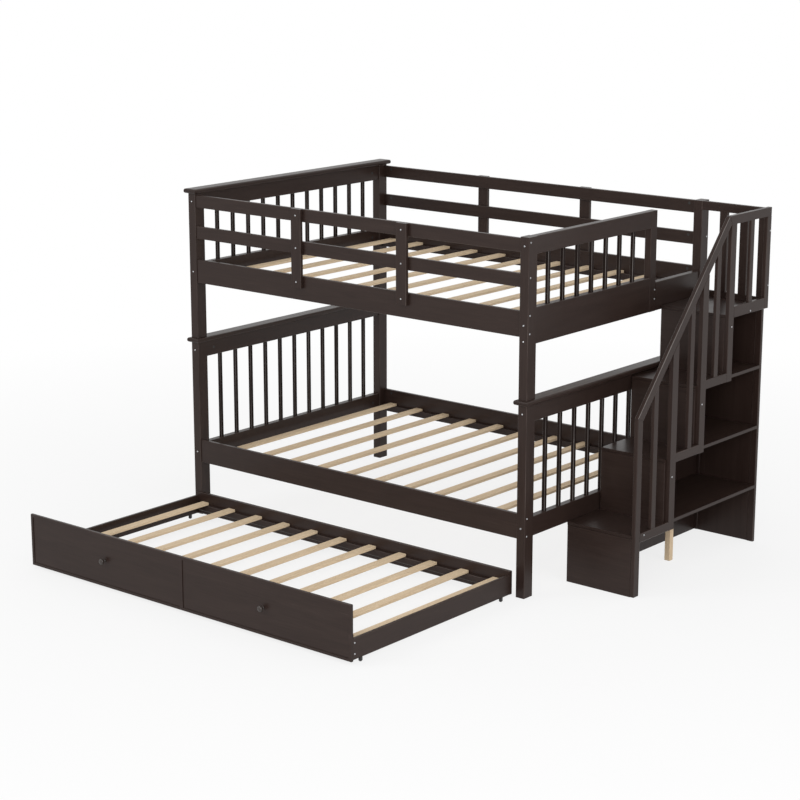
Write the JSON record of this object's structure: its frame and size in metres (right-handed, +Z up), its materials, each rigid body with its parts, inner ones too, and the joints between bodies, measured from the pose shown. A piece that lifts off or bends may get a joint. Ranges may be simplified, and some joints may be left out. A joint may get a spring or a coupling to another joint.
{
  "type": "bunk bed with stairs and trundle",
  "caption": "Dark wood bunk bed with slatted bunks and guards, a storage staircase with a handrail at the foot end, and a low trundle bed that rolls out on casters.",
  "frame": {"origin": "on the floor, under the middle of the whole object with the trundle rolled out", "axes": "+X from the head end to the stairs, +Y from the front to the back, +Z up"},
  "size_m": [2.4136, 2.557, 1.624],
  "materials": {
    "espresso_wood": "satin dark stain",
    "bare_pine": "planed, unfinished",
    "zinc_steel": "bright zinc",
    "dark_knob": "satin dark bronze",
    "black_steel": "satin black",
    "black_plastic": "moulded matte black"
  },
  "bodies": {
    "bed_and_stairs": {"barrel_nuts": "black_steel", "bed_bolts": "zinc_steel", "bunk_slat_cleats": "espresso_wood", "bunk_slats": "bare_pine", "entry_board": "espresso_wood", "gate_post": "espresso_wood", "guard_middle_rails": "espresso_wood", "guard_stiles": "espresso_wood", "guard_top_rails": "espresso_wood", "handrail_bars": "espresso_wood", "handrail_climbing_rail": "espresso_wood", "handrail_foot_rails": "espresso_wood", "handrail_level_rail": "espresso_wood", "handrail_newel": "espresso_wood", "handrail_posts": "espresso_wood", "landing_guard_rail": "espresso_wood", "landing_guard_stiles": "espresso_wood", "lower_back_left_post": "espresso_wood", "lower_back_right_post": "espresso_wood", "lower_balusters": "espresso_wood", "lower_bottom_end_rails": "espresso_wood", "lower_foot_cap": "espresso_wood", "lower_front_left_post": "espresso_wood", "lower_front_right_post": "espresso_wood", "lower_head_cap": "espresso_wood", "lower_side_rails": "espresso_wood", "lower_top_end_rails": "espresso_wood", "post_dowels": "bare_pine", "stair_back_panel": "espresso_wood", "stair_back_posts": "espresso_wood", "stair_battens": "bare_pine", "stair_risers": "espresso_wood", "stair_side_panels": "espresso_wood", "stair_support_leg": "bare_pine", "stair_treads": "espresso_wood", "upper_back_left_post": "espresso_wood", "upper_back_right_post": "espresso_wood", "upper_foot_balusters": "espresso_wood", "upper_foot_board": "espresso_wood", "upper_foot_top_rail": "espresso_wood", "upper_front_left_post": "espresso_wood", "upper_front_right_post": "espresso_wood", "upper_head_balusters": "espresso_wood", "upper_head_board": "espresso_wood", "upper_head_cap": "espresso_wood", "upper_head_top_rail": "espresso_wood", "upper_side_rails": "espresso_wood"},
    "trundle": {"caster_forks": "black_steel", "trundle_back_rail": "espresso_wood", "trundle_bolts": "zinc_steel", "trundle_end_panels": "espresso_wood", "trundle_front_panel": "espresso_wood", "trundle_front_rail": "espresso_wood", "trundle_knobs": "dark_knob", "trundle_slat_cleats": "espresso_wood", "trundle_slats": "bare_pine"},
    "back_left_caster_wheel": {"back_left_caster_wheel": "black_plastic"},
    "back_right_caster_wheel": {"back_right_caster_wheel": "black_plastic"},
    "front_left_caster_wheel": {"front_left_caster_wheel": "black_plastic"},
    "front_right_caster_wheel": {"front_right_caster_wheel": "black_plastic"}
  },
  "joints": [
    {"name": "trundle_roll_in", "type": "slide", "parent": "bed_and_stairs", "child": "trundle", "axis": [0, 1, 0], "range_m": [0, 1.099]},
    {"name": "back_left_caster_wheel_spin", "type": "hinge", "parent": "trundle", "child": "back_left_caster_wheel", "pos_m": [-1.13575, -0.2535, 0.009], "axis": [1, 0, 0], "continuous": true},
    {"name": "back_right_caster_wheel_spin", "type": "hinge", "parent": "trundle", "child": "back_right_caster_wheel", "pos_m": [0.78725, -0.2535, 0.009], "axis": [1, 0, 0], "continuous": true},
    {"name": "front_left_caster_wheel_spin", "type": "hinge", "parent": "trundle", "child": "front_left_caster_wheel", "pos_m": [-1.13575, -1.1885, 0.009], "axis": [1, 0, 0], "continuous": true},
    {"name": "front_right_caster_wheel_spin", "type": "hinge", "parent": "trundle", "child": "front_right_caster_wheel", "pos_m": [0.78725, -1.1885, 0.009], "axis": [1, 0, 0], "continuous": true}
  ],
  "couplings": [
    {"joint": "back_left_caster_wheel_spin", "follows": "trundle_roll_in", "rad_per_m": -111.11},
    {"joint": "back_right_caster_wheel_spin", "follows": "trundle_roll_in", "rad_per_m": -111.11},
    {"joint": "front_left_caster_wheel_spin", "follows": "trundle_roll_in", "rad_per_m": -111.11},
    {"joint": "front_right_caster_wheel_spin", "follows": "trundle_roll_in", "rad_per_m": -111.11}
  ]
}
